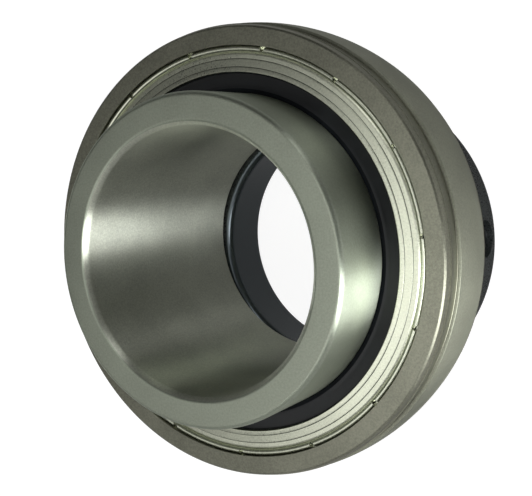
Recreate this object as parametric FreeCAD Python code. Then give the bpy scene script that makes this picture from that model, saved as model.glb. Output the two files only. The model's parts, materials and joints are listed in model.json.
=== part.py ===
import FreeCAD, Part
import math
import os

# Insert bearing with an eccentric locking collar. All sizes are in millimetres.
# The bearing's axis is +Z. It stands on the collar's end at Z = 0, with the plain end on top.

# Bore, walls and balls, which set the diameters from the shaft outwards
bore_diameter = 50.0
inner_wall = 3.65
ball_diameter = 12.7
outer_wall = 3.65
ball_count = 10
ball_play = 0.06
raceway_conformity = 0.52
raceway_depth_share = 0.1968504

# Inner ring, with its length on each side of the raceway's middle
plain_side_length = 24.6
tail_side_length = 24.6
ring_edge_round = 1.0
bore_mouth_width = 0.8
bore_mouth_depth = 1.1
bore_tail_chamfer = 0.6

# Eccentric cam at the inner ring's tail
cam_wall = 3.75
cam_eccentricity = 1.2
cam_angle = -12.5
cam_edge_chamfer = 0.5
cam_neck_depth = 0.4
cam_neck_width = 0.8

# Ribbon cage, two pressed halves riveted between the balls
cage_sheet = 0.8
cage_side_gap = 1.25
pocket_play = 0.2
rivet_shank_diameter = 1.8
rivet_head_diameter = 3.4
rivet_head_height = 0.8

# Rubber seals, held behind the shields
seal_to_cage = 0.9
seal_web = 0.75
seal_front_depth = 1.5
seal_bead_width = 0.9
seal_bead_height = 0.22
seal_seat_overlap = 0.6
lip_play = 0.08
lip_width = 0.75
lip_thickness = 0.4

# Outer ring's edges, and the recesses that hold the shields
outer_edge_chamfer = 0.3
tail_land_width = 1.6
recess_depth = 1.9
recess_seat_width = 1.25
undercut_depth = 0.3
undercut_width = 0.45

# Lubrication groove near the plain side, and its grease holes
groove_from_face = 1.65
groove_width = 3.5
groove_depth = 0.45
grease_hole_diameter = 2.4
grease_hole_angles = (120.0, 240.0)

# Pressed shields
shield_sheet = 0.5
shield_play = 0.05
shield_below_face = 0.35
rim_bead_width = 1.0
shield_fall = 0.38
band_edges = (1.43, 1.55)
band_line_width = 0.07
band_line_depth = 0.1
rubber_width = 3.9
slit_count = 15
slit_width = 0.95
slit_angle = 4.8

# Locking collar
collar_wall = 6.2
collar_overhang = 13.5
cam_grip = 4.8
collar_bore_play = 0.2
collar_edge_chamfer = 0.5
collar_mouth_chamfer = 1.0
collar_shoulder_round = 1.5
collar_turned = 135.0
cam_play = 0.08
collar_end_play = 0.3
collar_shoulder_gap = 0.6
drift_hole_diameter = 6.0
drift_hole_depth = 4.0
drift_hole_angle = 180.0

# Set screw
screw_diameter = 8.0
screw_length = 7.6
screw_play = 0.06
screw_height = 6.1
screw_recess = 0.9
screw_socket_flats = 4.0
screw_socket_depth = 3.6
screw_cup_diameter = 4.4
screw_edge_chamfer = 0.5

# Radii that follow, from the shaft outwards
bore_radius = bore_diameter / 2
ball_radius = ball_diameter / 2
pitch_radius = bore_radius + inner_wall + ball_radius
sphere_radius = pitch_radius + ball_radius + outer_wall
raceway_radius = raceway_conformity * ball_diameter
raceway_depth = raceway_depth_share * ball_diameter
inner_shoulder = pitch_radius - ball_radius + raceway_depth
outer_shoulder = pitch_radius + ball_radius - raceway_depth
recess_radius = outer_shoulder + recess_seat_width
shield_hole = inner_shoulder + rubber_width
cam_radius = bore_radius + cam_wall
collar_radius = cam_radius + collar_wall
collar_bore = bore_radius + collar_bore_play

# Heights above the raceway's middle plane
pocket_radius = ball_radius + pocket_play
cage_top = pocket_radius + cage_sheet
seal_back = cage_top + seal_to_cage
seal_front = seal_back + seal_web
ring_face = seal_front + seal_front_depth
seat_height = ring_face - recess_depth
crown_height = ring_face - shield_below_face
valley_height = crown_height - rim_bead_width / 2
band_height = crown_height - shield_fall

# Heights above the foot
tail_z = collar_overhang
raceway_z = tail_z + tail_side_length
collar_length = collar_overhang + cam_grip
shoulder_z = collar_length + collar_shoulder_gap
counterbore_z = tail_z - collar_end_play


def polar(radius, angle, z=0.0):
    """Point at a radius and an angle in degrees round the Z axis."""
    turn = math.radians(angle)
    return FreeCAD.Vector(radius * math.cos(turn), radius * math.sin(turn), z)


cam_centre = polar(cam_eccentricity, cam_angle)
collar_centre = cam_centre - polar(cam_eccentricity, cam_angle + collar_turned)


def section(*steps):
    """Closed face in the XZ plane. A step is a point (radius, z), or an arc as (middle, end)."""
    def at(point):
        return FreeCAD.Vector(point[0], 0, point[1])

    edges = []
    here = steps[0]
    for step in steps[1:] + (steps[0],):
        if isinstance(step[0], tuple):
            middle, end = step
            edges.append(Part.Arc(at(here), at(middle), at(end)).toShape())
        else:
            end = step
            edges.append(Part.LineSegment(at(here), at(end)).toShape())
        here = end
    return Part.Face(Part.Wire(edges))


def turned(*steps):
    """Solid of revolution of a section about the Z axis."""
    face = section(*steps)
    return face.revolve(FreeCAD.Vector(0, 0, 0), FreeCAD.Vector(0, 0, 1), 360)


def moved(shape, offset):
    """Copy of a shape at another place."""
    copy = shape.copy()
    copy.translate(offset)
    return copy


def raised(shape):
    """Copy of a shape that was drawn about the raceway's middle plane, at its height."""
    return moved(shape, FreeCAD.Vector(0, 0, raceway_z))


def mirrored(shape):
    """Copy of a shape, mirrored in the raceway's middle plane."""
    return shape.mirror(FreeCAD.Vector(0, 0, 0), FreeCAD.Vector(0, 0, 1))


def turned_to(shape, angle):
    """Copy of a shape, turned round the Z axis by an angle in degrees."""
    copy = shape.copy()
    copy.rotate(FreeCAD.Vector(0, 0, 0), FreeCAD.Vector(0, 0, 1), angle)
    return copy


def ring_copies(shape, count, first_angle=0.0):
    """Copies of a shape, evenly spaced round the Z axis."""
    return [turned_to(shape, first_angle + index * 360.0 / count) for index in range(count)]


def raceway_half_width():
    """Half width of a raceway at its shoulders, which lie at the raceway's depth less the ball's play."""
    rise = raceway_radius - raceway_depth - ball_play
    return math.sqrt(raceway_radius ** 2 - rise ** 2)


def make_inner_ring():
    """Long ring with a raceway, a bored and chamfered plain end, and an eccentric cam at its tail."""
    bore = bore_radius
    edge = inner_shoulder - ring_edge_round
    bulge = ring_edge_round * (1 - math.sqrt(0.5))
    half = raceway_half_width()
    floor = pitch_radius - ball_radius - ball_play
    top = plain_side_length
    low = shoulder_z - raceway_z
    body = raised(turned(
        (bore, low), (edge, low),
        ((inner_shoulder - bulge, low + bulge), (inner_shoulder, low + ring_edge_round)),
        (inner_shoulder, -half), ((floor, 0), (inner_shoulder, half)),
        (inner_shoulder, top - ring_edge_round), ((inner_shoulder - bulge, top - bulge), (edge, top)),
        (bore + bore_mouth_width, top), (bore, top - bore_mouth_depth)))
    neck = cam_radius - cam_neck_depth
    neck_z = shoulder_z - cam_neck_width
    cam = moved(turned(
        (0, tail_z), (cam_radius - cam_edge_chamfer, tail_z), (cam_radius, tail_z + cam_edge_chamfer),
        (cam_radius, neck_z), (neck, neck_z), (neck, shoulder_z), (0, shoulder_z)), cam_centre)
    bore_cut = turned(
        (0, tail_z), (bore + bore_tail_chamfer, tail_z), (bore, tail_z + bore_tail_chamfer),
        (bore, shoulder_z), (0, shoulder_z))
    return body.fuse(cam.cut(bore_cut)).removeSplitter()


def outer_blank():
    """Outer ring's turned form about its middle plane: a sphere, a narrow land at the tail, two recesses."""
    half = raceway_half_width()
    floor = pitch_radius + ball_radius + ball_play
    edge_z = ring_face - outer_edge_chamfer
    edge = math.sqrt(sphere_radius ** 2 - edge_z ** 2)
    land = math.sqrt(sphere_radius ** 2 - ring_face ** 2)
    land_z = tail_land_width - ring_face
    land_top = math.sqrt(sphere_radius ** 2 - land_z ** 2)
    face = land - outer_edge_chamfer
    under = recess_radius + undercut_depth
    under_top = seat_height + undercut_width
    under_end = under_top + undercut_depth
    return turned(
        (outer_shoulder, -half), ((floor, 0), (outer_shoulder, half)),
        (outer_shoulder, seat_height), (under, seat_height), (under, under_top),
        (recess_radius, under_end), (recess_radius, ring_face),
        (face, ring_face), (edge, edge_z), ((sphere_radius, 0), (land_top, land_z)),
        (land, land_z), (land, -edge_z), (face, -ring_face), (recess_radius, -ring_face), (recess_radius, -under_end),
        (under, -under_top), (under, -seat_height), (outer_shoulder, -seat_height))


def make_outer_ring():
    """Ring with a spherical outside, a shallow lubrication groove and grease holes in it."""
    high = ring_face - groove_from_face
    low = high - groove_width
    middle = (high + low) / 2
    floor = math.sqrt(sphere_radius ** 2 - middle ** 2) - groove_depth
    groove = turned((floor, low), (sphere_radius, low), (sphere_radius, high), (floor, high))
    hole = Part.makeCylinder(
        grease_hole_diameter / 2, sphere_radius - pitch_radius,
        FreeCAD.Vector(pitch_radius, 0, middle), FreeCAD.Vector(1, 0, 0))
    holes = [turned_to(hole, angle) for angle in grease_hole_angles]
    return raised(outer_blank().cut(groove).cut(Part.makeCompound(holes)))


def band_points():
    """Shield's front from the crease at its rim to its hole: three bands with a fine pressed line between."""
    valley = recess_radius - shield_play - rim_bead_width
    points = [(valley, valley_height), (valley - 2 * band_line_width, band_height)]
    edge = valley
    for width in band_edges:
        edge -= width
        points += [
            (edge + band_line_width, band_height), (edge, band_height - band_line_depth),
            (edge - band_line_width, band_height)]
    round_off = shield_sheet / 2
    points += [(shield_hole + round_off, band_height), (shield_hole, band_height - round_off)]
    return points


def make_shield():
    """Shield about the middle plane: pressed bands, a crease and a rolled rim slit into tabs."""
    rim = recess_radius - shield_play
    toe = rim + undercut_depth
    leg = rim - shield_sheet
    crown = rim - rim_bead_width / 2
    valley = rim - rim_bead_width
    under = shield_sheet
    leg_top = seat_height + undercut_width + undercut_depth
    disc = turned(
        (leg, seat_height), (toe, seat_height), (toe, leg_top - undercut_depth - shield_play), (rim, leg_top),
        (rim, valley_height), ((crown, crown_height), (valley, valley_height)), *band_points()[1:],
        (shield_hole, band_height - under), (valley - band_line_width, band_height - under),
        (valley, valley_height - under), (valley + under / 2, valley_height - under), (leg, leg_top))
    reach = toe - valley
    slit = Part.makeBox(
        reach, slit_width, crown_height - seat_height,
        FreeCAD.Vector(valley + band_line_width, -slit_width / 2, seat_height))
    return disc.cut(Part.makeCompound(ring_copies(slit, slit_count, slit_angle)))


def make_seal():
    """Rubber washer about the middle plane: a clamped edge, a bead under the shield, a web and a lip."""
    edge = outer_shoulder + seal_seat_overlap
    bead = shield_hole + seal_bead_width
    bead_top = seal_front + seal_bead_height
    lip = inner_shoulder + lip_play
    root = lip + lip_width
    seat = outer_shoulder - seal_web
    return turned(
        (edge, seat_height), (edge, seal_front), (bead, seal_front), (bead - seal_bead_height, bead_top),
        (shield_hole + seal_bead_height, bead_top), (shield_hole, seal_front),
        (root + lip_thickness, seal_front), (lip + lip_thickness, seal_front + lip_thickness / 2),
        (lip, seal_front + lip_thickness / 2),
        (lip, seal_front - lip_thickness / 2), (root, seal_back), (seat - seal_web, seal_back),
        (seat, seat_height))


def make_balls():
    """Balls at their places on the pitch circle."""
    ball = Part.makeSphere(ball_radius, FreeCAD.Vector(pitch_radius, 0, raceway_z))
    return ring_copies(ball, ball_count)


def make_cage_half():
    """Pressed ribbon above the middle plane: flat tabs between domed pockets, with rivet holes."""
    inner = inner_shoulder + cage_side_gap
    outer = outer_shoulder - cage_side_gap
    tabs = turned((inner, 0), (outer, 0), (outer, cage_sheet), (inner, cage_sheet))
    band = turned((inner, 0), (outer, 0), (outer, cage_top), (inner, cage_top))
    centre = FreeCAD.Vector(pitch_radius, 0, 0)
    domes = ring_copies(Part.makeSphere(cage_top, centre), ball_count)
    hollows = ring_copies(Part.makeSphere(pocket_radius, centre), ball_count)
    hole = Part.makeCylinder(rivet_shank_diameter / 2, cage_sheet, centre)
    holes = ring_copies(hole, ball_count, 180.0 / ball_count)
    ribbon = tabs.fuse(Part.makeCompound(domes).common(band)).removeSplitter()
    return ribbon.cut(Part.makeCompound(hollows)).cut(Part.makeCompound(holes))


def make_rivets():
    """Rivets through both cage halves, each with a domed head at both ends."""
    shank = rivet_shank_diameter / 2
    head = rivet_head_diameter / 2
    tip = cage_sheet + rivet_head_height
    dome = (head ** 2 + rivet_head_height ** 2) / (2 * rivet_head_height)
    half_turn = math.asin(head / dome) / 2
    waist = (dome * math.sin(half_turn), tip - dome * (1 - math.cos(half_turn)))
    rivet = turned(
        (0, -tip), ((waist[0], -waist[1]), (head, -cage_sheet)), (shank, -cage_sheet),
        (shank, cage_sheet), (head, cage_sheet), (waist, (0, tip)))
    first = moved(rivet, FreeCAD.Vector(pitch_radius, 0, 0))
    return raised(Part.makeCompound(ring_copies(first, ball_count, 180.0 / ball_count)))


def make_collar():
    """Locking collar: a bore, an eccentric recess for the cam, a screw hole and a drift hole."""
    radius = collar_radius
    edge = collar_edge_chamfer
    mouth = collar_mouth_chamfer
    floor = counterbore_z
    curve = collar_shoulder_round
    middle = curve * (1 - math.sqrt(0.5))
    collar = moved(turned(
        (collar_bore + mouth, 0), (radius - edge, 0), (radius, edge), (radius, collar_length - edge),
        (radius - edge, collar_length), (cam_radius, collar_length), (cam_radius, floor),
        (collar_bore + curve, floor), ((collar_bore + middle, floor - middle), (collar_bore, floor - curve)),
        (collar_bore, mouth)), collar_centre)
    recess = cam_radius + cam_play
    seat = moved(turned(
        (0, floor), (recess, floor), (recess, collar_length - cam_edge_chamfer),
        (recess + cam_edge_chamfer, collar_length), (0, collar_length)), cam_centre)
    side = FreeCAD.Vector(1, 0, 0)
    screw_hole = Part.makeCylinder(
        screw_diameter / 2 + screw_play, radius,
        collar_centre + FreeCAD.Vector(0, 0, screw_height), side)
    drift_hole = Part.makeCylinder(
        drift_hole_diameter / 2, drift_hole_depth,
        FreeCAD.Vector(radius - drift_hole_depth, 0, screw_height), side)
    drift_hole = moved(turned_to(drift_hole, drift_hole_angle), collar_centre)
    return collar.cut(seat).cut(screw_hole).cut(drift_hole)


def make_set_screw():
    """Socket set screw with a cup point, drawn upright and laid along +X in the collar's wall."""
    radius = screw_diameter / 2
    edge = screw_edge_chamfer
    cup = screw_cup_diameter / 2
    blank = turned(
        (0, cup / 2), (cup, 0), (radius - edge, edge), (radius, 2 * edge),
        (radius, screw_length - edge), (radius - edge, screw_length), (0, screw_length))
    corner = screw_socket_flats / 2 / math.cos(math.radians(30))
    floor = screw_length - screw_socket_depth
    corners = [polar(corner, 60 * turn, floor) for turn in range(7)]
    socket = Part.Face(Part.makePolygon(corners)).extrude(FreeCAD.Vector(0, 0, screw_socket_depth))
    screw = blank.cut(socket)
    screw.rotate(FreeCAD.Vector(0, 0, 0), FreeCAD.Vector(0, 1, 0), 90)
    inner_end = collar_radius - screw_recess - screw_length
    return moved(screw, collar_centre + FreeCAD.Vector(inner_end, 0, screw_height))


def main():
    """Makes every piece and writes one file for each."""
    shield = make_shield()
    seal = make_seal()
    cage_half = make_cage_half()
    pieces = {
        "outer_ring": make_outer_ring(),
        "inner_ring": make_inner_ring(),
        "locking_collar": make_collar(),
        "set_screw": make_set_screw(),
        "shield_plain_side": raised(shield),
        "shield_collar_side": raised(mirrored(shield)),
        "seal_plain_side": raised(seal),
        "seal_collar_side": raised(mirrored(seal)),
        "cage_half_plain_side": raised(cage_half),
        "cage_half_collar_side": raised(mirrored(cage_half)),
        "cage_rivets": make_rivets(),
    }
    for number, ball in enumerate(make_balls(), start=1):
        pieces["ball_%02d" % number] = ball
    os.makedirs("parts", exist_ok=True)
    for name, shape in pieces.items():
        shape.exportStep(os.path.join("parts", name + ".step"))


main()
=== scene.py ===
"""Dresses the frame of an insert bearing: turned rings, pressed shields, rubber seals and a locking collar.

Lengths are in metres, in the frame's own axes: the bearing's axis is +Z, and the collar stands on Z = 0.
"""

import json
import math

import bpy
from bpy.props import FloatProperty, FloatVectorProperty, IntProperty, PointerProperty
from mathutils import Matrix, Vector


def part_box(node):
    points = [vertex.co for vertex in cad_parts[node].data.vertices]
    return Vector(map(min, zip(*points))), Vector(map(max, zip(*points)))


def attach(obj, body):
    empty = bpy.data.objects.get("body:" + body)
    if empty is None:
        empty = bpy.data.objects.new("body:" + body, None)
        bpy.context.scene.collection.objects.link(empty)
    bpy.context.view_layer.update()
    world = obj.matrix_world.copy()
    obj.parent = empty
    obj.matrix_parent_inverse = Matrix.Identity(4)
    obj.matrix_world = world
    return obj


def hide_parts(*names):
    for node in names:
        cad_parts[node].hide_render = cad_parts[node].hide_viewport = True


bl_info = {
    "name": "Insert Bearing",
    "version": (1, 0, 0),
    "blender": (4, 5, 0),
    "location": "3D View > Sidebar > Bearing",
    "description": "Models and finishes the pieces of an insert bearing round its frame",
    "category": "Object",
}

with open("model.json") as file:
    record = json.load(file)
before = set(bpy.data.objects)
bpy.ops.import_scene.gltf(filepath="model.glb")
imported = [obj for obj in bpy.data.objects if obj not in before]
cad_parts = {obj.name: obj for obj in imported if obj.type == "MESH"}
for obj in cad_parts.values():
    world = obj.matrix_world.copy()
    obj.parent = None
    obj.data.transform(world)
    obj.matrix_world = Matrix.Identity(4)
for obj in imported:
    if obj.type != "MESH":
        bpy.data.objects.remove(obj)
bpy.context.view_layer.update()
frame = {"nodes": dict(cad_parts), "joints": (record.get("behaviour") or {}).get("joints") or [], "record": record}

MM = 0.001
AXIS = (0.0, 0.0)

# Distance at which points are merged, and the angle up to which an edge looks smooth
MERGE = 0.001 * MM
SMOOTH_ANGLE = math.radians(28)

# How finely the round forms are divided
SEGMENTS, HOLE_SIDES, THREAD_STEPS = 256, 48, 48
RACEWAY_STEPS, BEAD_STEPS, SHOULDER_STEPS, EDGE_STEPS, ROUND_STEPS = 24, 12, 8, 4, 3

# The thread's section, as shares of its pitch: its start, and half its width at the root and at the crest
THREAD_START, THREAD_ROOT, THREAD_CREST = 0.75, 0.42, 0.08

# Fineness of the noise patterns, per metre, and a turned line's change on its way round
LINE_SCALE, GRAIN_SCALE, PATCH_SCALE = 9000.0, 2600.0, 90.0
SKIN_SCALE, BLOOM_SCALE, HAZE_SCALE = 1500.0, 120.0, 400.0
LINE_DRIFT = 0.0006

# Noise values between which a finish changes its roughness, and its colour
NOISE_RANGE, TINT_PLACES = (0.3, 0.7), (0.38, 0.62)

# Where the light tent's glow starts and stops changing: as shares of its radius, then in metres
WALL_FADE, PATCH_FADE, ROOF_FADE, PANE_TOP = (0.1, -0.5), (0.18, 0.52), (0.42, 0.6), (0.97, 0.85)
# The first pair is where the painted shadow round the bearing's foot fades out on the tent's floor.
FOOT_SHADOW_FADE, INSIDE_FADE, POOL_FADE, GROUND_FADE = (0.04, 0.14), (0.03, 0.026), (0.06, 0.2), (0.002, 0.01)

# Height of the tent's floor, place and size of the two lamps, and the key lamp's tint
TENT_FOOT = 0.0004
KEY_LAMP, FILL_LAMP = ((0.43, -0.21, 0.40), (0.18, 0.45)), ((0.16, 0.37, 0.50), (0.14, 0.3))
KEY_TINT = (0.9, 0.95, 1.0)

# The floor's size, its grey where it only lights, its grey where it is seen, and its glow there
FLOOR_SIZE, FLOOR_LIT, FLOOR_SEEN, FLOOR_GLOW = 8.0, 0.8, 0.3, 0.9

mounts = {mount["name"]: mount for mount in frame["record"]["mounts"]}
joints = {joint["name"]: joint for joint in frame["joints"]}
middle_z = mounts["housing_seat"]["pos_m"][2]
bore_radius = mounts["bore"]["dims"]["r_mm"] * MM
collar_bore = mounts["collar_bore"]["dims"]["r_mm"] * MM
collar_centre = tuple(mounts["collar_bore"]["pos_m"][:2])
cam_centre = tuple(joints["collar_turn"]["pos_m"][:2])
ring_foot, ring_top = (corner.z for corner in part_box("inner_ring"))
outer_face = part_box("outer_ring")[1].z - middle_z
screw_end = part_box("set_screw")[0].x


def length(name, millimetres, description):
    """Property that holds a length."""
    return FloatProperty(
        name=name, description=description, default=millimetres * MM, precision=5,
        subtype="DISTANCE", unit="LENGTH")


def degrees(name, value, description):
    """Property that holds an angle."""
    return FloatProperty(name=name, description=description, default=math.radians(value), subtype="ANGLE")


def brightness(name, value, description, unit="NONE"):
    """Property that holds a light's strength."""
    return FloatProperty(name=name, description=description, default=value, min=0, unit=unit)


def colour(name, value, description):
    """Property that holds a finish's colour."""
    return FloatVectorProperty(
        name=name, description=description, default=value, size=3, min=0, max=1, subtype="COLOR")


class RingSizes(bpy.types.PropertyGroup):
    """Sizes of the two rings."""
    shoulder: length("Inner ring's radius", 31.15, "Radius of the inner ring's ground outside")
    mouth_width: length("Mouth width", 0.8, "Width of the chamfer at the bore's mouth")
    mouth_depth: length("Mouth depth", 1.1, "Depth of the chamfer at the bore's mouth")
    mouth_round: length("Mouth rounding", 0.45, "Rounding of the chamfer at the bore's mouth")
    edge: length("Edge", 1.0, "Rounding of the inner ring's outside edges")
    tail_edge: length("Tail chamfer", 0.6, "Chamfer at the bore's tail end")
    raceway_floor: length("Raceway floor", 28.59, "Radius of the inner raceway's floor")
    raceway_radius: length("Raceway radius", 6.604, "Radius of both raceways' section")
    cam_radius: length("Cam radius", 28.75, "Radius of the eccentric cam at the ring's tail")
    cam_edge: length("Cam edge", 0.5, "Chamfer at the cam's end")
    neck_depth: length("Neck depth", 0.4, "Depth of the relief between cam and ring")
    neck_width: length("Neck width", 0.8, "Width of the relief between cam and ring")
    cam_shoulder: length("Cam shoulder", 18.9, "Height at which the ring steps down to its cam")
    sphere: length("Outside radius", 45.0, "Radius of the spherical outside")
    outer_shoulder: length("Outer shoulder", 38.85, "Inside radius of the outer ring")
    recess: length("Shield recess", 40.1, "Radius of the recess that holds a shield")
    recess_depth: length("Recess depth", 1.9, "Depth of the recess below the ring's face")
    undercut: length("Undercut", 0.3, "Depth of the undercut that holds the shield's toe")
    undercut_width: length("Undercut width", 0.45, "Width of the undercut")
    outer_edge: length("Outer edge", 0.3, "Chamfer at the outer ring's faces")
    tail_land: length("Tail land", 1.6, "Width of the narrow land beside the outer ring's tail face")
    groove_from_face: length("Groove place", 1.65, "From the face to the lubrication groove")
    groove_width: length("Groove width", 3.5, "Width of the lubrication groove")
    groove_depth: length("Groove depth", 0.45, "Depth of the lubrication groove")
    groove_round: length("Groove rounding", 0.25, "Rounding of the groove's corners")
    grease_hole: length("Grease hole", 2.4, "Diameter of the holes in the groove")
    grease_angles: FloatVectorProperty(
        name="Grease holes", description="Angles of the holes in the groove", size=2, subtype="NONE",
        default=(math.radians(120), math.radians(240)))
    raceway_floor_outer: length("Outer raceway floor", 41.41, "Radius of the outer raceway's floor")
    crisp: length("Crisp edge", 0.1, "Rounding of the edges that look sharp")


class ShieldSizes(bpy.types.PropertyGroup):
    """Sizes of the pressed shields and the rubber seals behind them."""
    sheet: length("Sheet", 0.5, "Thickness of the zinc plated sheet")
    play: length("Play", 0.05, "Clearance round the rim")
    below_face: length("Below face", 0.35, "From the ring's face to the rim's crown")
    bead_width: length("Bead width", 1.2, "Width of the rolled rim")
    fall: length("Fall", 0.38, "Depth of the bands below the crown")
    crease_width: length("Crease width", 0.42, "Width of the valley beside the rolled rim")
    first_band: length("First band", 1.23, "Width of the outermost band, with the valley")
    second_band: length("Second band", 1.55, "Width of the middle band")
    # The step between two bands is painted with a darker zinc: painted shade.
    line_width: length("Line width", 0.16, "Width of the dark step between two bands")
    band_step: length("Band step", 0.1, "Height of the step from a band up to the next, inwards")
    slit_depth: length("Slit depth", 0.95, "Depth of a slit below the rim's crown")
    band_slope: degrees("Band slope", 5.5, "Slope of the middle band, which rises inwards")
    rim_slope: degrees("Rim band slope", 2, "Slope of the band beside the rim")
    hole_slope: degrees("Hole band slope", 8, "Slope of the band beside the hole")
    hole_round: length("Hole rounding", 0.2, "Rounding of the edge at the shield's hole")
    hole: length("Hole", 35.05, "Radius of the shield's hole")
    slit_width: length("Slit width", 0.95, "Width of a slit in the rim")
    slit_round: length("Slit rounding", 0.4275, "Rounding of a slit's inner end")
    slit_count: IntProperty(name="Slits", description="Number of slits in the rim", default=15, min=1)
    slit_angle: degrees("First slit", 4.8, "Angle of the first slit")
    lip_play: length("Lip play", 0.08, "Clearance between the seal's lip and the ring")
    lip_thickness: length("Lip thickness", 0.4, "Thickness of the seal's lip")
    web: length("Web", 0.75, "Thickness of the seal's web")
    seal_above_seat: length("Seal above seat", 0.4, "From the recess's seat to the seal's front")
    seal_overlap: length("Seal overlap", 0.6, "How far the seal lies on the recess's seat")
    seal_bead: length("Seal bead", 0.9, "How far the seal's bead reaches under the shield")
    seal_bead_height: length("Seal bead's height", 0.22, "Height of the seal's bead")
    seal_round: length("Seal rounding", 0.08, "Rounding of the seal's edges")


class CollarSizes(bpy.types.PropertyGroup):
    """Sizes of the locking collar."""
    radius: length("Radius", 34.95, "Outside radius")
    height: length("Height", 18.3, "Length along the axis")
    floor: length("Floor", 13.2, "Height of the recess's floor")
    edge: length("Edge", 0.5, "Chamfer of the outside edges")
    mouth: length("Mouth", 1.0, "Chamfer at the bore's mouth")
    shoulder_round: length("Shoulder rounding", 1.5, "Rounding from the recess's floor into the bore")
    recess: length("Recess", 28.83, "Radius of the eccentric recess")
    recess_edge: length("Recess edge", 0.5, "Chamfer at the recess's mouth")
    crisp: length("Crisp edge", 0.1, "Rounding of the edges that look sharp")
    drift_hole: length("Drift hole", 6.0, "Diameter of the blind hole for a drift")
    drift_depth: length("Drift hole's depth", 4.0, "Depth of the blind hole for a drift")


class ScrewSizes(bpy.types.PropertyGroup):
    """Sizes of the set screw and of its thread."""
    radius: length("Radius", 4.0, "Outside radius of the thread")
    size: length("Length", 7.6, "Length of the screw")
    pitch: length("Pitch", 1.0, "Pitch of the thread")
    thread_depth: length("Thread depth", 0.55, "Depth of the thread")
    flats: length("Socket", 4.0, "Width across the hexagon socket's flats")
    socket_depth: length("Socket depth", 3.6, "Depth of the hexagon socket")
    cup: length("Cup", 4.4, "Diameter of the cup point")
    play: length("Play", 0.06, "Clearance between the screw and its hole")
    height: length("Height", 6.1, "Height of the screw's axis")


class Finishes(bpy.types.PropertyGroup):
    """Colours of the finishes."""
    ground_steel: colour("Ground steel", (0.35, 0.385, 0.31), "Ground bearing steel of the inner ring")
    sphere_steel: colour("Sphere steel", (0.30, 0.31, 0.245), "Ground steel of the spherical outside")
    # Partly the land's turned finish and partly painted highlight: lighter than the sphere's steel, so the narrow
    # land shows as a bright band.
    land_steel: colour("Land steel", (0.42, 0.43, 0.35), "Turned steel of the outer ring's narrow land")
    face_steel: colour("Face steel", (0.212, 0.214, 0.167), "Turned steel of the outer ring's faces")
    turned_steel: colour("Turned steel", (0.305, 0.33, 0.267), "Ground steel of the inner ring's face")
    bore_steel: colour("Bore steel", (0.50, 0.52, 0.44), "Honed steel in the bore")
    # Painted shade: a darker zinc on the risers between the shield's bands, where the steps fall into shade.
    painted_step_shade_zinc: colour("Dark zinc", (0.10, 0.11, 0.09), "Zinc plated sheet in the steps between the bands")
    zinc: colour("Zinc", (0.56, 0.58, 0.465), "Zinc plated sheet, faintly green")
    rubber: colour("Rubber", (0.005, 0.006, 0.007), "Black moulded rubber")
    black_oxide: colour("Black oxide", (0.026, 0.030, 0.029), "Black oxide on steel")
    # Glossier oxide in the collar's bore, faintly blue, with blue-tinted reflections: partly a glossier finish and
    # partly a painted blue sheen on the shoulder's rounding.
    oiled_oxide: colour("Oiled oxide", (0.026, 0.031, 0.033), "Oiled black oxide in the collar's bore")
    strip_steel: colour("Strip steel", (0.45, 0.44, 0.42), "Pressed steel strip of the cage")
    ball_steel: colour("Ball steel", (0.75, 0.75, 0.74), "Polished balls")


class Studio(bpy.types.PropertyGroup):
    """Camera and light."""
    camera_place: FloatVectorProperty(
        name="Camera place", description="Where the camera stands", default=(0.10433, 0.01807, 0.20662),
        subtype="TRANSLATION", unit="LENGTH")
    camera_back: FloatVectorProperty(
        name="Camera back", description="Direction from the bearing to the camera",
        default=(0.51905, 0.09034, 0.84996), subtype="DIRECTION")
    picture_up: FloatVectorProperty(
        name="Picture up", description="Direction that points up in the picture",
        default=(0.0, 0.9944, -0.10569), subtype="DIRECTION")
    lens: FloatProperty(name="Lens", description="Focal length in millimetres", default=66.08, unit="CAMERA")
    world_light: brightness("World light", 0.55, "Strength of the even light")
    key_light: brightness("Key light", 0.8, "Power of the key lamp", "POWER")
    fill_light: brightness("Fill light", 0.3, "Power of the fill lamp", "POWER")
    tent_radius: length("Tent", 750, "Radius of the light tent")
    window_angle: degrees("Window angle", -26, "Middle of the tall window")
    window_width: degrees("Window width", 22, "Width of the tall window")
    window_soft: degrees("Window softness", 4, "Fade at the tall window's sides")
    window_level: brightness("Window level", 6.9, "Glow of the tall window")
    side_angle: degrees("Side angle", 58, "Middle of the weaker window")
    side_width: degrees("Side width", 20, "Width of the weaker window")
    side_soft: degrees("Side softness", 12, "Fade at the weaker window's sides")
    side_level: brightness("Side level", 0.12, "Glow of the weaker window")
    back_level: brightness("Back level", 0.06, "Glow of the wall behind")
    front_level: brightness("Front level", 0.6, "Glow of the wall in front")
    roof_level: brightness("Roof level", 1.9, "Glow of the roof's light patch")
    roof_edge: brightness("Roof's edge", 0.12, "Glow of the roof round the patch")
    roof_place: FloatVectorProperty(
        name="Roof light's place", description="Middle of the roof's light patch", default=(-0.085, -0.155),
        size=2, subtype="NONE", unit="LENGTH")
    pool_angle: degrees("Pool angle", -16, "Middle of the floor's light pool")
    pool_level: brightness("Pool level", 1.0, "Glow of the floor before the tall window")
    # The tent's floor glows dimly by the foot and under the bearing, brighter further out: a painted shadow of the
    # bearing, seen only in the metal.
    floor_inside: brightness("Floor inside", 0.12, "Glow of the floor that shows through the bore")
    floor_painted_shadow: brightness("Near floor", 0.1, "Glow of the floor by the foot")
    floor_far: brightness("Far floor", 0.6, "Glow of the floor further out")


def groups(context, *names):
    """Groups of sizes and colours that the scene holds."""
    return [getattr(context.scene, "bearing_" + name) for name in names]


# Modelling, as by hand

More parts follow.
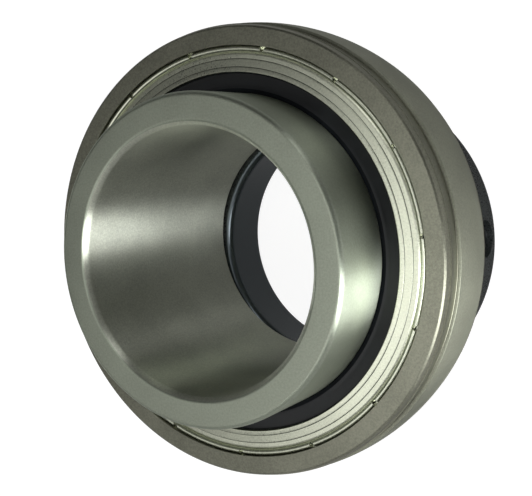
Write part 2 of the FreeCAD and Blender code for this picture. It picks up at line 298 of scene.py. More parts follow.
def rounded(points, centre=AXIS):
    """Rings through a profile's points. A point is (radius, height), and a third number rounds its corner."""
    rings = []
    for index, point in enumerate(points):
        here = Vector(point[:2])
        if len(point) == 2:
            rings.append((here.x, here.y, centre))
            continue
        before = Vector(points[index - 1][:2]) - here
        after = Vector(points[(index + 1) % len(points)][:2]) - here
        start = here + before.normalized() * point[2]
        end = here + after.normalized() * point[2]
        for step in range(ROUND_STEPS + 1):
            share = step / ROUND_STEPS
            place = start.lerp(here, share).lerp(here.lerp(end, share), share)
            rings.append((place.x, place.y, centre))
    return rings


def raised(points):
    """Rings through a profile that is drawn about the middle plane, at that plane's height."""
    return [(radius, height + middle_z, centre) for radius, height, centre in rounded(points)]


def arc_points(radius, height, size, start, end, steps):
    """Points of a profile along an arc about (radius, height), with its angles in radians."""
    angles = [start + (end - start) * step / steps for step in range(steps + 1)]
    return [(radius + size * math.cos(angle), height + size * math.sin(angle)) for angle in angles]


def pick(piece):
    """Selects one piece and makes it active."""
    bpy.ops.object.select_all(action="DESELECT")
    bpy.context.view_layer.objects.active = piece
    piece.select_set(True)


def face_outwards():
    """Turns all faces outwards and leaves edit mode."""
    bpy.ops.mesh.select_all(action="SELECT")
    bpy.ops.mesh.normals_make_consistent(inside=False)
    bpy.ops.object.mode_set(mode="OBJECT")


def pull_rings(name, rings, closed=True):
    """Solid of revolution: a circle whose edges are extruded, scaled and moved from ring to ring."""
    bpy.ops.object.select_all(action="DESELECT")
    radius, height, centre = rings[0]
    bpy.ops.mesh.primitive_circle_add(vertices=SEGMENTS, radius=radius, location=(*centre, height))
    piece = bpy.context.object
    piece.name = piece.data.name = name
    bpy.ops.object.transform_apply(location=True)
    bpy.ops.object.mode_set(mode="EDIT")
    bpy.ops.mesh.select_mode(type="EDGE")
    bpy.ops.mesh.select_all(action="SELECT")
    for next_radius, next_height, next_centre in rings[1:] + rings[:1] * closed:
        bpy.ops.mesh.extrude_region()
        grow = next_radius / radius
        bpy.ops.transform.resize(value=(grow, grow, 1), center_override=(*centre, height))
        shift = (next_centre[0] - centre[0], next_centre[1] - centre[1], next_height - height)
        bpy.ops.transform.translate(value=shift)
        radius, height, centre = next_radius, next_height, next_centre
    bpy.ops.mesh.select_all(action="SELECT")
    bpy.ops.mesh.remove_doubles(threshold=MERGE)
    if not closed:
        bpy.ops.mesh.fill_holes(sides=0)
    face_outwards()
    return piece


def apply_modifier(piece, kind, **settings):
    """Adds a modifier, sets it up and applies it."""
    pick(piece)
    modifier = piece.modifiers.new(kind.title(), kind)
    for key, value in settings.items():
        setattr(modifier, key, value)
    bpy.ops.object.modifier_apply(modifier=modifier.name)


def cut(piece, tool, operation="DIFFERENCE"):
    """Cuts a tool out of a piece, or joins it on, and removes the tool."""
    apply_modifier(piece, "BOOLEAN", object=tool, operation=operation, solver="EXACT")
    bpy.data.objects.remove(tool)


def place(piece, location=(0, 0, 0), rotation=(0, 0, 0)):
    """Turns and moves a piece and keeps its object at the origin, with its place in its mesh."""
    pick(piece)
    piece.rotation_euler = rotation
    piece.location = location
    bpy.ops.object.transform_apply(location=True, rotation=True, scale=True)
    return piece


def drill(piece, radius, start, end, angle, centre, height):
    """Drills a hole along the direction of an angle, from one radius to another."""
    bpy.ops.object.select_all(action="DESELECT")
    bpy.ops.mesh.primitive_cylinder_add(vertices=HOLE_SIDES, radius=radius, depth=end - start)
    tool = bpy.context.object
    place(tool, location=((start + end) / 2, 0, 0), rotation=(0, math.pi / 2, 0))
    cut(piece, place(tool, location=(*centre, height), rotation=(0, 0, angle)))


def mirrored_copy(piece, name):
    """Copy of a piece, mirrored in the middle plane."""
    copy = piece.copy()
    copy.data = piece.data.copy()
    copy.name = copy.data.name = name
    bpy.context.collection.objects.link(copy)
    copy.data.transform(Matrix.Translation((0, 0, 2 * middle_z)) @ Matrix.Diagonal((1, 1, -1, 1)))
    pick(copy)
    bpy.ops.object.mode_set(mode="EDIT")
    face_outwards()
    return copy


def finish_piece(piece, materials, body, node):
    """Smooths a piece, gives it its materials and puts it in the place of its node."""
    pick(piece)
    bpy.ops.object.shade_smooth_by_angle(angle=SMOOTH_ANGLE)
    apply_modifier(piece, "WEIGHTED_NORMAL", keep_sharp=True)
    piece.data.materials.clear()
    for material in materials:
        piece.data.materials.append(material)
    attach(piece, body)
    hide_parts(node)


def paint(piece, index, test):
    """Gives a material slot to the faces whose centre passes a test of radius and height."""
    for face in piece.data.polygons:
        if test(math.hypot(face.center.x, face.center.y), face.center.z):
            face.material_index = index


# Materials

def add_node(tree, kind, inputs=None, **settings):
    """Adds a node with its settings, and sets or links its inputs."""
    node = tree.nodes.new(kind)
    for key, value in settings.items():
        setattr(node, key, value)
    for key, value in (inputs or {}).items():
        if isinstance(value, bpy.types.NodeSocket):
            tree.links.new(value, node.inputs[key])
        else:
            node.inputs[key].default_value = value
    return node


def math_node(tree, operation, first, second=0.0):
    """Result of a sum on one or two values."""
    return add_node(tree, "ShaderNodeMath", {0: first, 1: second}, operation=operation).outputs[0]


def weighted(tree, first, second, share):
    """Sum of two values, the first with a share and the second with what is left of it."""
    rest = math_node(tree, "MULTIPLY", second, 1 - share)
    return math_node(tree, "ADD", math_node(tree, "MULTIPLY", first, share), rest)


def object_point(tree):
    """A point in the object's own coordinates, which are the frame's."""
    return add_node(tree, "ShaderNodeTexCoord").outputs["Object"]


def ring_coordinates(tree, centre=AXIS):
    """Angle, radius and height of a point about an upright axis, and the point itself."""
    shift = {"Vector": object_point(tree), "Location": (-centre[0], -centre[1], 0.0)}
    centred = add_node(tree, "ShaderNodeMapping", shift).outputs[0]
    parts = add_node(tree, "ShaderNodeSeparateXYZ", {0: centred}).outputs
    angle = math_node(tree, "ARCTAN2", parts[1], parts[0])
    squares = [math_node(tree, "MULTIPLY", part, part) for part in (parts[0], parts[1])]
    radius = math_node(tree, "SQRT", math_node(tree, "ADD", *squares))
    return angle, radius, parts[2], centred


def noise(tree, vector, scale, detail=4.0, roughness=0.6):
    """Value of a noise pattern."""
    inputs = {"Vector": vector, "Scale": scale, "Detail": detail, "Roughness": roughness}
    return add_node(tree, "ShaderNodeTexNoise", inputs).outputs[0]


def stretch(tree, value, start, end, low=0.0, high=1.0):
    """Value that runs from low to high as another runs from start to end, and stays there beyond."""
    inputs = {"Value": value, "From Min": start, "From Max": end, "To Min": low, "To Max": high}
    return add_node(tree, "ShaderNodeMapRange", inputs).outputs[0]


def new_material(name):
    """New material with its node tree and its shader."""
    material = bpy.data.materials.new(name)
    material.use_nodes = True
    return material, material.node_tree, material.node_tree.nodes["Principled BSDF"]


def uneven(tree, shader, value, base, tints, roughness):
    """Runs the colour between two tints of a base, and the roughness between two values, with the noise."""
    ramp = add_node(tree, "ShaderNodeValToRGB", {0: value})
    for element, position, tint in zip(ramp.color_ramp.elements, TINT_PLACES, tints):
        element.position = position
        element.color = (*[channel * tint for channel in base], 1)
    tree.links.new(ramp.outputs[0], shader.inputs["Base Color"])
    tree.links.new(stretch(tree, value, *NOISE_RANGE, *roughness), shader.inputs["Roughness"])


def add_bump(tree, shader, height, strength, distance):
    """Relief of a surface."""
    inputs = {"Height": height, "Strength": strength, "Distance": distance}
    tree.links.new(add_node(tree, "ShaderNodeBump", inputs).outputs[0], shader.inputs["Normal"])


def turned_metal(
        name, base, roughness, lay=0.6, lines=0.4, speckle=0.12, centre=AXIS, metallic=1.0, gloss=0.5,
        tint=(1, 1, 1)):
    """Metal with fine lines round an axis, as from a lathe or a grinding wheel, and a fine speckle."""
    material, tree, shader = new_material(name)
    angle, radius, height, point = ring_coordinates(tree, centre)
    slow_angle = math_node(tree, "MULTIPLY", angle, LINE_DRIFT)
    across = add_node(tree, "ShaderNodeCombineXYZ", {0: slow_angle, 1: radius, 2: height}).outputs[0]
    line = noise(tree, across, LINE_SCALE, 2.0)
    grain = noise(tree, point, GRAIN_SCALE, 3.0, 0.7)
    patches = noise(tree, point, PATCH_SCALE, 3.0)
    mixed = weighted(tree, grain, patches, 0.7)
    uneven(tree, shader, mixed, base, (1 - speckle, 1 + speckle), (roughness * 0.85, roughness * 1.15))
    shader.inputs["Metallic"].default_value = metallic
    shader.inputs["Specular IOR Level"].default_value = gloss
    # Specular Tint colours the reflections themselves; a blue tint here is a painted sheen.
    shader.inputs["Specular Tint"].default_value = (*tint, 1)
    shader.inputs["Anisotropic"].default_value = lay
    shader.inputs["Anisotropic Rotation"].default_value = 0.25
    tangent = add_node(tree, "ShaderNodeTangent", direction_type="RADIAL", axis="Z").outputs[0]
    tree.links.new(tangent, shader.inputs["Tangent"])
    add_bump(tree, shader, weighted(tree, line, grain, lines), strength=0.25, distance=0.04 * MM)
    return material


def rubber_material(name, base, gloss):
    """Black moulded rubber, more or less glossy, with a fine uneven skin."""
    material, tree, shader = new_material(name)
    point = object_point(tree)
    skin = noise(tree, point, SKIN_SCALE, 4.0)
    bloom = noise(tree, point, BLOOM_SCALE, 3.0)
    uneven(tree, shader, bloom, base, (0.7, 1.4), (0.32, 0.5))
    shader.inputs["Specular IOR Level"].default_value = gloss
    add_bump(tree, shader, skin, strength=0.3, distance=0.03 * MM)
    return material


def polished_metal(name, base, roughness):
    """Bright metal with a faint unevenness, for balls and pressed strip."""
    material, tree, shader = new_material(name)
    haze = noise(tree, object_point(tree), HAZE_SCALE, 5.0)
    uneven(tree, shader, haze, base, (0.9, 1.1), (roughness * 0.7, roughness * 1.3))
    shader.inputs["Metallic"].default_value = 1.0
    add_bump(tree, shader, haze, strength=0.1, distance=0.03 * MM)
    return material


# Pieces

def on_sphere(sizes, height):
    """Radius of the spherical outside at a height above the middle plane."""
    return math.sqrt(sizes.sphere ** 2 - height ** 2)


def outer_profile(sizes):
    """Outer ring's profile about the middle plane: recess, face, groove, sphere, then the raceway inside."""
    face = outer_face
    edge_z = face - sizes.outer_edge
    edge = on_sphere(sizes, edge_z)
    face_edge = on_sphere(sizes, face) - sizes.outer_edge
    high = face - sizes.groove_from_face
    low = high - sizes.groove_width
    floor = on_sphere(sizes, (high + low) / 2) - sizes.groove_depth
    seat = face - sizes.recess_depth
    under = sizes.recess + sizes.undercut
    under_top = seat + sizes.undercut_width
    under_end = under_top + sizes.undercut
    sphere_top = low - sizes.crisp * 3
    land_z = sizes.tail_land - face
    land = on_sphere(sizes, face)
    fall = land_z - sphere_top
    sphere_run = [sphere_top + fall * step / RACEWAY_STEPS for step in range(RACEWAY_STEPS + 1)]
    centre = sizes.raceway_floor_outer - sizes.raceway_radius
    reach = math.acos((sizes.outer_shoulder - centre) / sizes.raceway_radius)
    return [
        (sizes.recess, under_end), (sizes.recess, face, sizes.crisp), (face_edge, face, sizes.crisp),
        (edge, edge_z, sizes.crisp), (on_sphere(sizes, (edge_z + high) / 2), (edge_z + high) / 2),
        (on_sphere(sizes, high), high, sizes.crisp), (floor, high, sizes.groove_round),
        (floor, low, sizes.groove_round), (on_sphere(sizes, low), low, sizes.crisp),
        *[(on_sphere(sizes, height), height) for height in sphere_run],
        (land, land_z), (land, -edge_z, sizes.crisp), (face_edge, -face, sizes.crisp),
        (sizes.recess, -face, sizes.crisp),
        (sizes.recess, -under_end), (under, -under_top), (under, -seat),
        (sizes.outer_shoulder, -seat, sizes.crisp),
        *arc_points(centre, 0, sizes.raceway_radius, -reach, reach, RACEWAY_STEPS),
        (sizes.outer_shoulder, seat, sizes.crisp), (under, seat), (under, under_top)]


class BEARING_OT_outer_ring(bpy.types.Operator):
    """Model the outer ring with its spherical outside, groove, grease holes, recesses and raceway"""
    bl_idname = "bearing.outer_ring"
    bl_label = "Outer Ring"

    def execute(self, context):
        sizes, finishes = groups(context, "rings", "finishes")
        ring = pull_rings("outer_ring_dressed", raised(outer_profile(sizes)))
        groove = outer_face - sizes.groove_from_face - sizes.groove_width / 2
        through = (sizes.outer_shoulder - sizes.crisp, sizes.sphere + sizes.crisp)
        for angle in sizes.grease_angles:
            drill(ring, sizes.grease_hole / 2, *through, angle, AXIS, middle_z + groove)
        turned = turned_metal("turned_steel", finishes.face_steel, 0.38, lay=0.4, speckle=0.2)
        ground = turned_metal("ground_steel", finishes.sphere_steel, 0.45, lay=0.6, speckle=0.16)
        # The land's lighter steel is partly a painted highlight.
        land = turned_metal("land_steel", finishes.land_steel, 0.42, lay=1.0, speckle=0.2)
        finish_piece(ring, [turned, ground, land], "outer_ring", "outer_ring")
        floor = on_sphere(sizes, groove) - sizes.groove_depth / 2
        edge = outer_face - sizes.outer_edge / 2
        land_z = sizes.tail_land - outer_face
        paint(ring, 1, lambda radius, height: radius > floor and abs(height - middle_z) < edge)
        paint(ring, 2, lambda radius, height: radius > floor and -edge < height - middle_z < land_z)
        return {"FINISHED"}


def inner_rings(sizes):
    """Inner ring's profile from its mouth down the outside, with the eccentric cam at its tail."""
    shoulder = sizes.cam_shoulder
    neck = sizes.cam_radius - sizes.neck_depth
    centre = sizes.raceway_floor + sizes.raceway_radius
    reach = math.acos((centre - sizes.shoulder) / sizes.raceway_radius)
    raceway = arc_points(
        centre, middle_z, sizes.raceway_radius, math.pi - reach, math.pi + reach, RACEWAY_STEPS)
    edge = sizes.edge
    round_edge = arc_points(sizes.shoulder - edge, ring_top - edge, edge, math.pi / 2, 0, EDGE_STEPS)
    tail_edge = arc_points(sizes.shoulder - edge, shoulder + edge, edge, 0, -math.pi / 2, EDGE_STEPS)
    body = rounded([
        (bore_radius, ring_top - sizes.mouth_depth, sizes.mouth_round),
        (bore_radius + sizes.mouth_width, ring_top, sizes.mouth_round), *round_edge, *raceway, *tail_edge])
    cam = rounded([
        (neck, shoulder), (neck, shoulder - sizes.neck_width, sizes.crisp),
        (sizes.cam_radius, shoulder - sizes.neck_width, sizes.crisp),
        (sizes.cam_radius, ring_foot + sizes.cam_edge, sizes.crisp),
        (sizes.cam_radius - sizes.cam_edge, ring_foot, sizes.crisp)], cam_centre)
    tail = rounded([(bore_radius + sizes.tail_edge, ring_foot), (bore_radius, ring_foot + sizes.tail_edge)])
    return body + cam + tail


class BEARING_OT_inner_ring(bpy.types.Operator):
    """Model the inner ring with its chamfered bore, rounded edges, raceway and eccentric cam"""
    bl_idname = "bearing.inner_ring"
    bl_label = "Inner Ring"

    def execute(self, context):
        sizes, finishes = groups(context, "rings", "finishes")
        ring = pull_rings("inner_ring_dressed", inner_rings(sizes))
        outside = turned_metal("ground_outside", finishes.ground_steel, 0.36, lay=1.0)
        face = turned_metal("ground_face", finishes.turned_steel, 0.5, lay=0.0, lines=0.2)
        bore = turned_metal("honed_bore", finishes.bore_steel, 0.38, lay=1.0, speckle=0.16)
        finish_piece(ring, [outside, face, bore], "inner_ring", "inner_ring")
        paint(ring, 1, lambda radius, height: height > ring_top - sizes.crisp)
        paint(ring, 2, lambda radius, height: radius < bore_radius + sizes.mouth_width)
        return {"FINISHED"}


def shield_profile(sizes, rings):
    """Shield's profile about the middle plane: rolled rim, crease and three bands, then its back."""
    rim = rings.recess - sizes.play
    seat = outer_face - rings.recess_depth
    toe = rim + rings.undercut
    toe_top = seat + rings.undercut_width - sizes.play
    leg_top = seat + rings.undercut_width + rings.undercut
    leg = rim - sizes.sheet
    bead = sizes.bead_width / 2
    crown = outer_face - sizes.below_face
    crease = rim - sizes.bead_width
    crease_z = crown - bead
    band_z = crown - sizes.fall
    line_1 = crease - sizes.first_band
    line_2 = line_1 - sizes.second_band
    soft = sizes.line_width
    front = [(rim, leg_top), *arc_points(rim - bead, crease_z, bead, 0, math.pi, BEAD_STEPS)]
    start, height = crease - sizes.crease_width, band_z
    slopes = (sizes.rim_slope, sizes.band_slope, sizes.hole_slope)
    for edge, slope in zip((line_1, line_2, sizes.hole), slopes):
        top = height + (start - edge) * math.tan(slope)
        front += [(start, height, soft), (edge, top)]
        start, height = edge - soft, top + sizes.band_step
    front[-1] = (sizes.hole, top, sizes.hole_round)
    back = band_z - sizes.sheet
    return front + [
        (sizes.hole, back), (crease - sizes.crease_width, back), (crease, crease_z - sizes.sheet),
        (crease + sizes.sheet / 2, crease_z - sizes.sheet), (leg, leg_top), (leg, seat), (toe, seat),
        (toe, toe_top)]


class BEARING_OT_shields(bpy.types.Operator):
    """Model the pressed shield with its slit rim, and its twin at the collar's side"""
    bl_idname = "bearing.shields"
    bl_label = "Shields"

    def execute(self, context):
        sizes, rings, finishes = groups(context, "shields", "rings", "finishes")
        shield = pull_rings("shield_dressed_plain_side", raised(shield_profile(sizes, rings)))
        crease = rings.recess - sizes.play - sizes.bead_width
        for index in range(sizes.slit_count):
            angle = sizes.slit_angle + math.tau * index / sizes.slit_count
            cut(shield, slit_cutter(sizes, crease + sizes.line_width, rings.recess + rings.undercut, angle))
        zinc = turned_metal("zinc_sheet", finishes.zinc, 0.3, lay=0.0, lines=0.75)
        # Darker zinc for the painted shade on the steps between the bands.
        dark = turned_metal("zinc_crease", finishes.painted_step_shade_zinc, 0.4, lay=0.0, lines=0.75)
        twin = mirrored_copy(shield, "shield_dressed_collar_side")
        first = crease - sizes.first_band
        for piece, name in ((shield, "shield_plain_side"), (twin, "shield_collar_side")):
            finish_piece(piece, [zinc, dark], "outer_ring", name)
            # The risers between the bands take the darker zinc: painted shade in the steps.
            for step in (first, first - sizes.second_band):
                paint(piece, 1, lambda radius, height: step - sizes.line_width < radius < step)
        return {"FINISHED"}


def slit_cutter(sizes, inner, outer, angle):
    """Round-nosed slot that cuts one slit through the rim."""
    top = middle_z + outer_face
    bottom = top - sizes.below_face - sizes.slit_depth
    bpy.ops.object.select_all(action="DESELECT")
    bpy.ops.mesh.primitive_cube_add(size=1)
    tool = bpy.context.object
    tool.scale = (outer - inner, sizes.slit_width, top - bottom)
    place(tool, location=((outer + inner) / 2 + sizes.play, 0, (top + bottom) / 2))
    for polygon in tool.data.polygons:
        polygon.select = False
    for vertex in tool.data.vertices:
        vertex.select = vertex.co.x < (outer + inner) / 2
    for edge in tool.data.edges:
        first, second = (tool.data.vertices[index] for index in edge.vertices)
        edge.select = first.select and second.select and abs(first.co.z - second.co.z) > sizes.play
    bpy.ops.object.mode_set(mode="EDIT")
    bpy.ops.mesh.bevel(offset=sizes.slit_round, segments=EDGE_STEPS)
    bpy.ops.object.mode_set(mode="OBJECT")
    return place(tool, rotation=(0, 0, angle))


def seal_profile(sizes, rings):
    """Seal's profile about the middle plane: clamped edge, bead under the shield's hole, web and lip."""
    seat = outer_face - rings.recess_depth
    front = seat + sizes.seal_above_seat
    back = front - sizes.web
    edge = rings.outer_shoulder + sizes.seal_overlap
    lip = rings.shoulder + sizes.lip_play
    root = lip + sizes.web
    thin = sizes.lip_thickness
    bead = sizes.hole + sizes.seal_bead
    bead_z = front + sizes.seal_bead_height
    soft = sizes.seal_round
    return [
        (edge, seat), (edge, front), (bead, front), (bead - soft * 2, bead_z, soft),
        (sizes.hole + soft, bead_z, soft), (sizes.hole - soft * 3, front, soft * 2),
        (root + thin, front, soft * 5), (lip + thin, front + thin / 2, soft * 2),
        (lip, front + thin / 2, soft), (lip, front - thin / 2, soft), (root, back, soft),
        (rings.outer_shoulder - sizes.web * 2, back, soft), (rings.outer_shoulder - sizes.web, seat)]


class BEARING_OT_seals(bpy.types.Operator):
    """Model the rubber seal behind the shield, and its twin at the collar's side"""
    bl_idname = "bearing.seals"
    bl_label = "Seals"

    def execute(self, context):
        sizes, rings, finishes = groups(context, "shields", "rings", "finishes")
        seal = pull_rings("seal_dressed_plain_side", raised(seal_profile(sizes, rings)))
        twin = mirrored_copy(seal, "seal_dressed_collar_side")
        web = rubber_material("moulded_rubber", finishes.rubber, 0.35)
        # The lip's rubber has almost no sheen, so it stays as dark as the shaded gap by the ring: painted shade.
        lip = rubber_material("lip_rubber", finishes.rubber, 0.03)
        for piece, name in ((seal, "seal_plain_side"), (twin, "seal_collar_side")):
            finish_piece(piece, [web, lip], "outer_ring", name)
            # The lip takes the rubber without sheen: painted shade by the ring.
            paint(piece, 1, lambda radius, height: radius < rings.shoulder + sizes.lip_thickness * 2)
        return {"FINISHED"}


def collar_rings(sizes):
    """Collar's profile: the bore, the foot, the outside, and the eccentric recess for the cam."""
    crisp = sizes.crisp
    high, soft = sizes.height - sizes.edge, crisp * 2
    outside = rounded([
        (collar_bore, sizes.mouth, crisp), (collar_bore + sizes.mouth, 0, crisp),
        (sizes.radius - sizes.edge, 0, soft), (sizes.radius, sizes.edge, soft),
        (sizes.radius, high, soft), (sizes.radius - sizes.edge, sizes.height, soft)], collar_centre)
    recess = rounded([
        (sizes.recess + sizes.recess_edge, sizes.height, crisp),
        (sizes.recess, sizes.height - sizes.recess_edge, crisp),
        (sizes.recess, sizes.floor)], cam_centre)
    curve = sizes.shoulder_round
    shoulder = arc_points(
        collar_bore + curve, sizes.floor - curve, curve, math.pi / 2, math.pi, SHOULDER_STEPS)
    return outside + recess + rounded(shoulder, collar_centre)


def thread_ridge(sizes, core):
    """Closed ridge that winds round Z, for a thread: a trapezium section carried along a helix."""
    start, root, crest = (share * sizes.pitch for share in (THREAD_START, THREAD_ROOT, THREAD_CREST))
    inside = core - sizes.play
    corners = ((inside, -root), (sizes.radius, -crest), (sizes.radius, crest), (inside, root))
    bpy.ops.object.select_all(action="DESELECT")
    bpy.ops.mesh.primitive_plane_add(size=1)
    ridge = bpy.context.object
    for index, (radius, height) in zip(ridge.data.polygons[0].vertices, corners):
        ridge.data.vertices[index].co = (radius, 0, start + height)
    turns = round(sizes.size / sizes.pitch - 2)
    apply_modifier(
        ridge, "SCREW", angle=math.tau, screw_offset=sizes.pitch, iterations=turns, steps=THREAD_STEPS,
        render_steps=THREAD_STEPS, axis="Z", use_merge_vertices=True)
    bpy.ops.object.mode_set(mode="EDIT")
    bpy.ops.mesh.select_all(action="SELECT")
    bpy.ops.mesh.remove_doubles(threshold=MERGE)
    bpy.ops.mesh.fill_holes(sides=0)
    face_outwards()
    return ridge


class BEARING_OT_collar(bpy.types.Operator):
    """Model the locking collar with its eccentric recess, screw hole and blind hole"""
    bl_idname = "bearing.collar"
    bl_label = "Locking Collar"

    def execute(self, context):
        sizes, screw, finishes = groups(context, "collar", "screw", "finishes")
        collar = pull_rings("locking_collar_dressed", collar_rings(sizes))
        hole = screw.radius + screw.play
        outside = sizes.radius + sizes.edge
        floor = sizes.radius - sizes.drift_depth
        drill(collar, hole, collar_bore - sizes.edge * 2, outside, 0, collar_centre, screw.height)
        drill(collar, sizes.drift_hole / 2, floor, outside, math.pi, collar_centre, screw.height)
        oxide = turned_metal(
            "black_oxide", finishes.black_oxide, 0.28, lay=0.4, lines=0.5, speckle=0.25, centre=collar_centre,
            metallic=0.0, gloss=0.7)
        # The bore's oxide is glossier and its reflections are tinted blue: a painted blue sheen on the shoulder's
        # rounding.
        oiled_painted_sheen = turned_metal(
            "oiled_oxide", finishes.oiled_oxide, 0.2, lay=0.3, lines=0.5, speckle=0.1, centre=collar_centre,
            metallic=0.0, gloss=1.0, tint=(0.8, 0.93, 1.0))
        finish_piece(collar, [oxide, oiled_painted_sheen], "collar", "locking_collar")
        paint(collar, 1, lambda radius, height: radius < sizes.recess and sizes.mouth < height < sizes.floor)
        return {"FINISHED"}


class BEARING_OT_set_screw(bpy.types.Operator):
    """Model the set screw with its thread, hexagon socket and cup point"""
    bl_idname = "bearing.set_screw"
    bl_label = "Set Screw"

    def execute(self, context):
        sizes, finishes = groups(context, "screw", "finishes")
        core = sizes.radius - sizes.thread_depth
        cup = sizes.cup / 2
        chamfer = sizes.thread_depth
        screw = pull_rings("set_screw_dressed", rounded([
            (cup * 0.1, cup * 0.45), (cup, 0, sizes.play), (core, core - cup, sizes.play),
            (core, sizes.size - chamfer), (core - chamfer, sizes.size, sizes.play)]), closed=False)
        cut(screw, thread_ridge(sizes, core), "UNION")
        cut(screw, hexagon_key(sizes))
        place(screw, rotation=(0, math.pi / 2, 0))
        place(screw, location=(screw_end, collar_centre[1], sizes.height))
        black = turned_metal("black_screw", finishes.black_oxide, 0.3, lay=0.0, speckle=0.2, metallic=0.8)
        finish_piece(screw, [black], "screw", "set_screw")
        return {"FINISHED"}


def hexagon_key(sizes):
    """Hexagonal prism that cuts the screw's socket."""
    bpy.ops.object.select_all(action="DESELECT")
    corner = sizes.flats / math.sqrt(3)
    bpy.ops.mesh.primitive_cylinder_add(vertices=6, radius=corner, depth=sizes.socket_depth * 2)
    return place(bpy.context.object, location=(0, 0, sizes.size))


class BEARING_OT_balls_and_cage(bpy.types.Operator):
    """Give the balls, the cage and its rivets their finishes"""
    bl_idname = "bearing.balls_and_cage"
    bl_label = "Balls and Cage"

    def execute(self, context):
        finishes = context.scene.bearing_finishes
        polished = polished_metal("polished_balls", finishes.ball_steel, 0.08)
        strip = polished_metal("pressed_strip", finishes.strip_steel, 0.32)
        for name, node in frame["nodes"].items():
            if name.startswith(("ball_", "cage_")):
                node.data.materials.clear()
                node.data.materials.append(polished if name.startswith("ball_") else strip)
        return {"FINISHED"}


# Studio

def lamp(name, location, size, power, tint=(1, 1, 1)):
    """Soft lamp that looks at the bearing's middle."""
    bpy.ops.object.light_add(type="AREA", location=location)
    light = bpy.context.object
    light.name = light.data.name = name
    light.data.shape = "RECTANGLE"
    light.data.size, light.data.size_y = size
    light.data.energy = power
    light.data.color = tint
    light.rotation_euler = (Vector(location) - Vector((0, 0, middle_z))).to_track_quat("Z", "Y").to_euler()


def window(tree, angle, middle, half, soft, level):
    """Glow of an upright window in the tent's wall, about a middle angle."""
    off = math_node(tree, "ABSOLUTE", math_node(tree, "SUBTRACT", angle, middle))
    return stretch(tree, off, half + soft, half, 0.0, level)


def tent_material(studio):
    """Glow of the light tent: a tall window and a weaker one, a light front, a dark back and a light roof, and a
    floor with a light pool and a painted shadow round the bearing's foot.
    """
    material, tree = new_material("light_tent")[:2]
    angle, radius, height, point = ring_coordinates(tree)
    depth = add_node(tree, "ShaderNodeSeparateXYZ", {0: point}).outputs[1]

    def fade(value, shares, low=0.0, high=1.0):
        """Value that changes between two shares of the tent's radius."""
        return stretch(tree, value, *[share * studio.tent_radius for share in shares], low, high)

    width = studio.window_width
    tall = window(tree, angle, studio.window_angle, width / 2, studio.window_soft, studio.window_level)
    side = window(tree, angle, studio.side_angle, studio.side_width / 2, studio.side_soft, studio.side_level)
    wall = math_node(tree, "ADD", side, fade(depth, WALL_FADE, studio.back_level, studio.front_level))
    off = ring_coordinates(tree, studio.roof_place)[1]
    roof = fade(off, PATCH_FADE, studio.roof_level, studio.roof_edge)
    even = add_node(tree, "ShaderNodeMix", {0: fade(height, ROOF_FADE), 2: wall, 3: roof}).outputs[0]
    upper = math_node(tree, "ADD", even, math_node(tree, "MULTIPLY", tall, fade(height, PANE_TOP)))
    # Painted shadow: the floor glows dimly by the foot and under the bearing, and brighter further out.
    foot_shadow = stretch(tree, radius, *FOOT_SHADOW_FADE, studio.floor_painted_shadow, studio.floor_far)
    inside = stretch(tree, radius, *INSIDE_FADE, 0.0, studio.floor_inside)
    pool = window(tree, angle, studio.pool_angle, width, width, studio.pool_level)
    bright = math_node(tree, "MULTIPLY", pool, stretch(tree, radius, *POOL_FADE))
    ground = math_node(tree, "ADD", math_node(tree, "ADD", foot_shadow, inside), bright)
    above = stretch(tree, height, *GROUND_FADE)
    strength = add_node(tree, "ShaderNodeMix", {0: above, 2: ground, 3: upper}).outputs[0]
    glow = add_node(tree, "ShaderNodeEmission", {"Strength": strength})
    tree.links.new(glow.outputs[0], tree.nodes["Material Output"].inputs["Surface"])
    return material


def light_tent(studio):
    """Tent round the bearing and the camera, with a floor, that only metal mirrors."""
    bpy.ops.object.select_all(action="DESELECT")
    bpy.ops.mesh.primitive_uv_sphere_add(segments=48, ring_count=24, radius=studio.tent_radius)
    tent = bpy.context.object
    tent.name = tent.data.name = "light_tent"
    bpy.ops.object.mode_set(mode="EDIT")
    bpy.ops.mesh.select_all(action="SELECT")
    bpy.ops.mesh.bisect(plane_co=(0, 0, TENT_FOOT), plane_no=(0, 0, 1), clear_inner=True, use_fill=True)
    bpy.ops.object.mode_set(mode="OBJECT")
    tent.visible_camera = tent.visible_diffuse = tent.visible_transmission = tent.visible_shadow = False
    tent.data.materials.append(tent_material(studio))


def seen_rays(tree):
    """1 where the background is seen, straight or in metal or glass, and 0 where it only lights."""
    rays = add_node(tree, "ShaderNodeLightPath").outputs
    glossy = math_node(tree, "MAXIMUM", rays["Is Camera Ray"], rays["Is Glossy Ray"])
    return math_node(tree, "MAXIMUM", glossy, rays["Is Transmission Ray"])


def make_camera(scene, studio):
    """Camera at the photograph's place, rolled as it was."""
    bpy.ops.object.camera_add()
    camera = bpy.context.object
    back = Vector(studio.camera_back).normalized()
    up = Vector(studio.picture_up).normalized()
    right = up.cross(back)
    turn = Matrix((right, up, back)).transposed().to_4x4()
    camera.matrix_world = Matrix.Translation(studio.camera_place) @ turn
    camera.data.lens = studio.lens
    camera.data.clip_start = 0.01
    scene.camera = camera


def make_world(scene, studio):
    """White where it is seen, and an even soft light otherwise."""
    world = bpy.data.worlds.new("studio_world")
    world.use_nodes = True
    tree = world.node_tree
    light = tree.nodes["Background"]
    light.inputs["Color"].default_value = (1, 1, 1, 1)
    light.inputs["Strength"].default_value = studio.world_light
    white = add_node(tree, "ShaderNodeBackground", {"Color": (1, 1, 1, 1), "Strength": 1.0}).outputs[0]
    mix = add_node(tree, "ShaderNodeMixShader", {0: seen_rays(tree), 1: light.outputs[0], 2: white})
    tree.links.new(mix.outputs[0], tree.nodes["World Output"].inputs["Surface"])
    scene.world = world


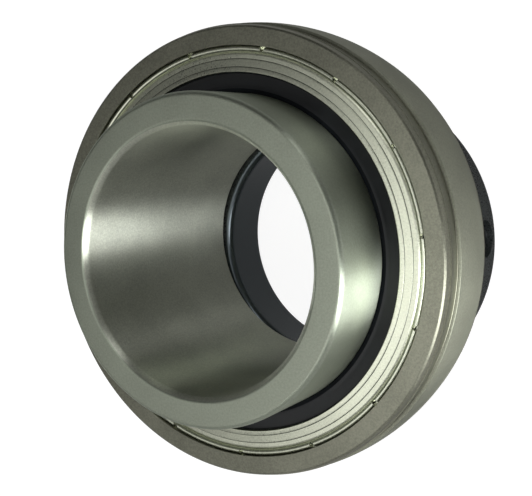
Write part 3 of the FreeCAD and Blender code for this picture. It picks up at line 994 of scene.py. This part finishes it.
def make_floor():
    """Pale floor that looks white and keeps the bearing's shadow."""
    bpy.ops.object.select_all(action="DESELECT")
    bpy.ops.mesh.primitive_plane_add(size=FLOOR_SIZE)
    floor = bpy.context.object
    floor.name = "floor"
    material, tree, shader = new_material("pale_floor")
    seen = seen_rays(tree)
    pale = stretch(tree, seen, 0.0, 1.0, FLOOR_LIT, FLOOR_SEEN)
    tree.links.new(pale, shader.inputs["Base Color"])
    shader.inputs["Roughness"].default_value = 0.9
    shader.inputs["Specular IOR Level"].default_value = 0.0
    strength = math_node(tree, "MULTIPLY", seen, FLOOR_GLOW)
    glow = add_node(tree, "ShaderNodeEmission", {"Strength": strength})
    both = add_node(tree, "ShaderNodeAddShader", {0: shader.outputs[0], 1: glow.outputs[0]}).outputs[0]
    tree.links.new(both, tree.nodes["Material Output"].inputs["Surface"])
    floor.data.materials.append(material)


class BEARING_OT_studio(bpy.types.Operator):
    """Set up the camera, the soft light, the pale floor and the white background"""
    bl_idname = "bearing.studio"
    bl_label = "Studio"

    def execute(self, context):
        studio = context.scene.bearing_studio
        context.scene.view_settings.view_transform = "Standard"
        make_camera(context.scene, studio)
        make_world(context.scene, studio)
        make_floor()
        lamp("key_lamp", *KEY_LAMP, studio.key_light, KEY_TINT)
        lamp("fill_lamp", *FILL_LAMP, studio.fill_light)
        light_tent(studio)
        return {"FINISHED"}


class BEARING_PT_panel(bpy.types.Panel):
    """Lists the sizes, the finishes and the steps"""
    bl_label = "Insert Bearing"
    bl_idname = "BEARING_PT_panel"
    bl_space_type = "VIEW_3D"
    bl_region_type = "UI"
    bl_category = "Bearing"

    def draw(self, context):
        for label, group in GROUPS.items():
            box = self.layout.box()
            box.label(text=group.__doc__)
            for name in group.__annotations__:
                box.prop(getattr(context.scene, label), name)
        for operator in OPERATORS:
            self.layout.operator(operator.bl_idname)


GROUPS = {
    "bearing_rings": RingSizes,
    "bearing_shields": ShieldSizes,
    "bearing_collar": CollarSizes,
    "bearing_screw": ScrewSizes,
    "bearing_finishes": Finishes,
    "bearing_studio": Studio,
}

OPERATORS = (
    BEARING_OT_outer_ring,
    BEARING_OT_inner_ring,
    BEARING_OT_shields,
    BEARING_OT_seals,
    BEARING_OT_collar,
    BEARING_OT_set_screw,
    BEARING_OT_balls_and_cage,
    BEARING_OT_studio,
)

CLASSES = (*GROUPS.values(), *OPERATORS, BEARING_PT_panel)


def register():
    for each in CLASSES:
        bpy.utils.register_class(each)
    for label, group in GROUPS.items():
        setattr(bpy.types.Scene, label, PointerProperty(type=group))


def unregister():
    for label in GROUPS:
        delattr(bpy.types.Scene, label)
    for each in reversed(CLASSES):
        bpy.utils.unregister_class(each)


def main():
    """Registers the classes and makes every piece."""
    register()
    for operator in OPERATORS:
        group, name = operator.bl_idname.split(".")
        getattr(getattr(bpy.ops, group), name)()


if __name__ == "__main__":
    main()
